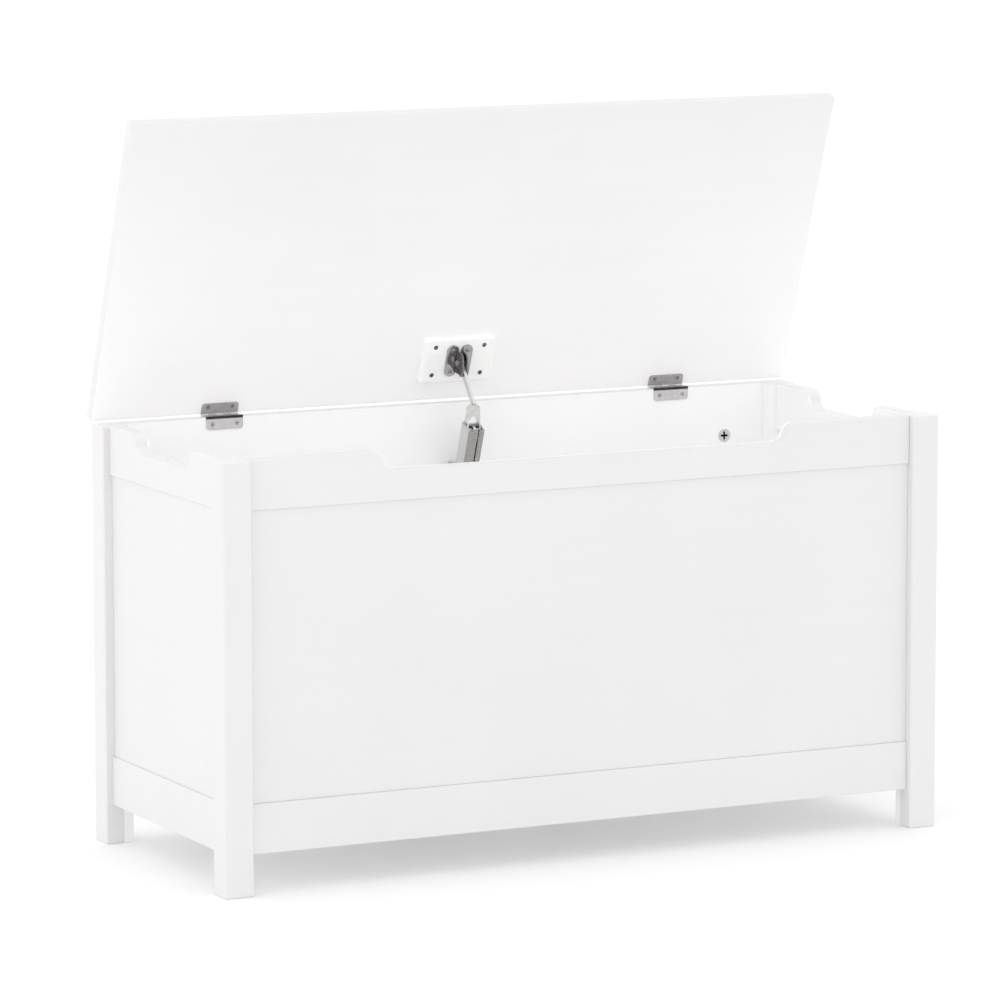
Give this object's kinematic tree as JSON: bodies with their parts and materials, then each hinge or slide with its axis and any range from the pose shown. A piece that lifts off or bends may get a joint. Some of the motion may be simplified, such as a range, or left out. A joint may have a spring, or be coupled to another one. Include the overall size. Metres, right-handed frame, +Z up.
{
  "type": "toy box",
  "caption": "White wooden toy box with framed panels, finger cut-outs, a hinged lid held open by a spring lid stay, a floor on battens and corner posts as legs",
  "frame": {"origin": "centre of the footprint on the floor, between the four legs", "axes": "+X to the right seen from the front, +Y from the front to the back where the hinges are, +Z up. The lid is open at rest, 70 degrees from closed."},
  "size_m": [0.94, 0.4007, 0.873],
  "materials": {
    "painted_wood": "white satin lacquer on smooth board",
    "bare_wood": "unpainted pale softwood, sanded",
    "zinc_steel": "zinc plated steel, slightly brushed",
    "dark_steel": "dark grey plated steel, semi-gloss",
    "white_plastic": "white moulded plastic"
  },
  "bodies": {
    "box": {"post_front_left": "painted_wood", "post_front_right": "painted_wood", "post_back_left": "painted_wood", "post_back_right": "painted_wood", "front_top_rail": "painted_wood", "front_panel": "painted_wood", "front_bottom_rail": "painted_wood", "left_top_rail": "painted_wood", "left_panel": "painted_wood", "left_bottom_rail": "painted_wood", "right_top_rail": "painted_wood", "right_panel": "painted_wood", "right_bottom_rail": "painted_wood", "back_board": "painted_wood", "floor_panel": "painted_wood", "batten_front": "painted_wood", "batten_back": "painted_wood", "batten_left": "painted_wood", "batten_right": "painted_wood", "dowels": "bare_wood", "cam_locks": "zinc_steel", "cam_bolts": "zinc_steel", "batten_screws": "zinc_steel", "floor_screws": "zinc_steel", "hinge_box_leaf_left": "zinc_steel", "hinge_box_leaf_right": "zinc_steel", "hinge_pins": "zinc_steel", "hinge_box_screws": "zinc_steel", "stay_bracket": "zinc_steel", "stay_bracket_screws": "zinc_steel", "stay_bracket_pin": "zinc_steel"},
    "lid": {"lid_board": "painted_wood", "hinge_lid_leaf_left": "dark_steel", "hinge_lid_leaf_right": "dark_steel", "hinge_lid_screws": "dark_steel", "stay_plate": "white_plastic", "stay_plate_screws": "dark_steel", "clevis_left": "dark_steel", "clevis_right": "dark_steel", "clevis_screws": "dark_steel", "clevis_pin": "zinc_steel"},
    "arm": {"stay_arm": "zinc_steel", "hook_pin": "zinc_steel"},
    "channel": {"stay_channel": "zinc_steel", "knee_pin": "zinc_steel", "stay_spring": "zinc_steel"},
    "rod": {"pull_rod": "zinc_steel"}
  },
  "joints": [
    {"name": "lid_hinge", "type": "hinge", "parent": "box", "child": "lid", "pos_m": [0, 0.1931, 0.50515], "axis": [1, 0, 0], "range_deg": [0, 70]},
    {"name": "stay_arm_pivot", "type": "hinge", "parent": "lid", "child": "arm", "pos_m": [0.0045, 0.16274, 0.55348], "axis": [1, 0, 0], "range_deg": [-75, 0]},
    {"name": "stay_knee", "type": "hinge", "parent": "arm", "child": "channel", "pos_m": [0.0045, 0.13319, 0.48175], "axis": [1, 0, 0], "range_deg": [0, 68.4]},
    {"name": "rod_slide", "type": "slide", "parent": "channel", "child": "rod", "axis": [0, -0.342, 0.9397], "range_m": [0, 0.0092], "deforming": ["stay_spring"]}
  ],
  "couplings": [
    {"joint": "stay_arm_pivot", "follows": "lid_hinge", "ratio": -1.069},
    {"joint": "stay_knee", "follows": "lid_hinge", "ratio": 0.973},
    {"joint": "rod_slide", "follows": "lid_hinge", "m_per_rad": 0.00748}
  ]
}
